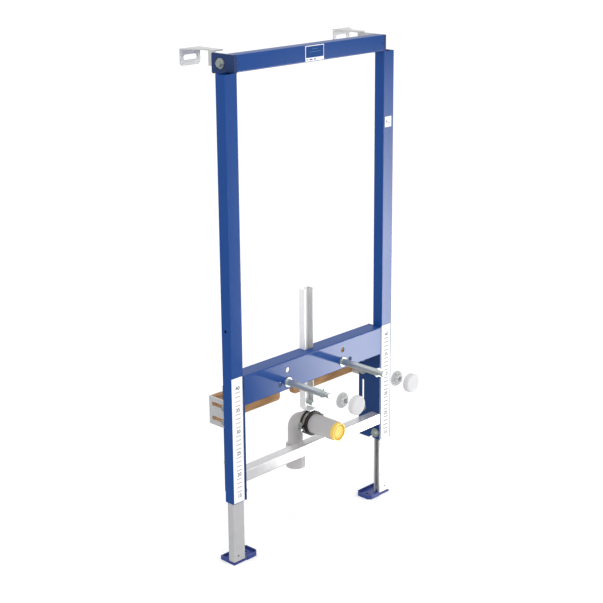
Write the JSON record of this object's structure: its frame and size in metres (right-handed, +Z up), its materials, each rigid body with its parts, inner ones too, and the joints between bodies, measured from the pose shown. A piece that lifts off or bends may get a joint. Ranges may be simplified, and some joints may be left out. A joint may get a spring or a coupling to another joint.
{
  "type": "bidet installation frame",
  "caption": "Free-standing steel wall frame for a hung bidet, with height-set legs, wall brackets, fixing rods and a clamped drain bend.",
  "frame": {"origin": "on the floor, in the middle of the whole object's width and depth", "axes": "+Z up, +Y towards the wall behind, +X to the right as seen from the room"},
  "size_m": [0.525, 0.345, 1.1245],
  "materials": {
    "blue_paint": "gloss",
    "zinc_sheet": "satin",
    "zinc_bolt": "satin",
    "plywood": "matte",
    "grey_plastic": "matte",
    "yellow_plastic": "satin",
    "white_plastic": "satin",
    "rubber": "matte"
  },
  "bodies": {
    "frame": {"left_post": "blue_paint", "right_post": "blue_paint", "top_bar": "blue_paint", "left_top_bracket": "blue_paint", "right_top_bracket": "blue_paint", "left_top_bolt": "zinc_bolt", "right_top_bolt": "zinc_bolt", "crossbeam": "blue_paint", "lower_rail": "zinc_sheet", "left_side_plate": "blue_paint", "right_side_plate": "blue_paint", "left_leg_bolt": "zinc_bolt", "right_leg_bolt": "zinc_bolt", "channel": "zinc_sheet", "left_rod": "zinc_bolt", "right_rod": "zinc_bolt", "left_sleeve": "zinc_bolt", "right_sleeve": "zinc_bolt", "left_nut": "zinc_bolt", "right_nut": "zinc_bolt", "left_cap": "white_plastic", "right_cap": "white_plastic"},
    "left_leg": {"left_leg": "zinc_sheet", "left_foot": "blue_paint"},
    "right_leg": {"right_leg": "zinc_sheet", "right_foot": "blue_paint"},
    "left_wall_bracket": {"left_wall_bracket": "zinc_sheet"},
    "right_wall_bracket": {"right_wall_bracket": "zinc_sheet"},
    "left_board": {"left_board": "plywood", "left_board_bracket": "zinc_sheet"},
    "right_board": {"right_board": "plywood", "right_board_bracket": "zinc_sheet"},
    "drain": {"clamp_bracket": "zinc_sheet", "wing_bolt": "zinc_bolt", "clamp_upper_band": "zinc_sheet", "clamp_lower_band": "zinc_sheet", "left_clamp_screw": "zinc_bolt", "right_clamp_screw": "zinc_bolt", "clamp_rubber": "rubber", "drain_pipe": "grey_plastic", "drain_bend": "grey_plastic", "drain_plug": "yellow_plastic"}
  },
  "joints": [
    {"name": "left_leg_slide", "type": "slide", "parent": "frame", "child": "left_leg", "axis": [0, 0, -1], "range_m": [-0.12, 0.08]},
    {"name": "right_leg_slide", "type": "slide", "parent": "frame", "child": "right_leg", "axis": [0, 0, -1], "range_m": [-0.12, 0.08]},
    {"name": "left_wall_slide", "type": "slide", "parent": "frame", "child": "left_wall_bracket", "axis": [0, 1, 0], "range_m": [0, 0.024]},
    {"name": "right_wall_slide", "type": "slide", "parent": "frame", "child": "right_wall_bracket", "axis": [0, 1, 0], "range_m": [0, 0.024]},
    {"name": "left_board_slide", "type": "slide", "parent": "frame", "child": "left_board", "axis": [0, -1, 0], "range_m": [0, 0.014]},
    {"name": "right_board_slide", "type": "slide", "parent": "frame", "child": "right_board", "axis": [0, -1, 0], "range_m": [0, 0.014]},
    {"name": "drain_slide", "type": "slide", "parent": "frame", "child": "drain", "axis": [0, 0, 1], "range_m": [-0.0035, 0.0065]}
  ]
}
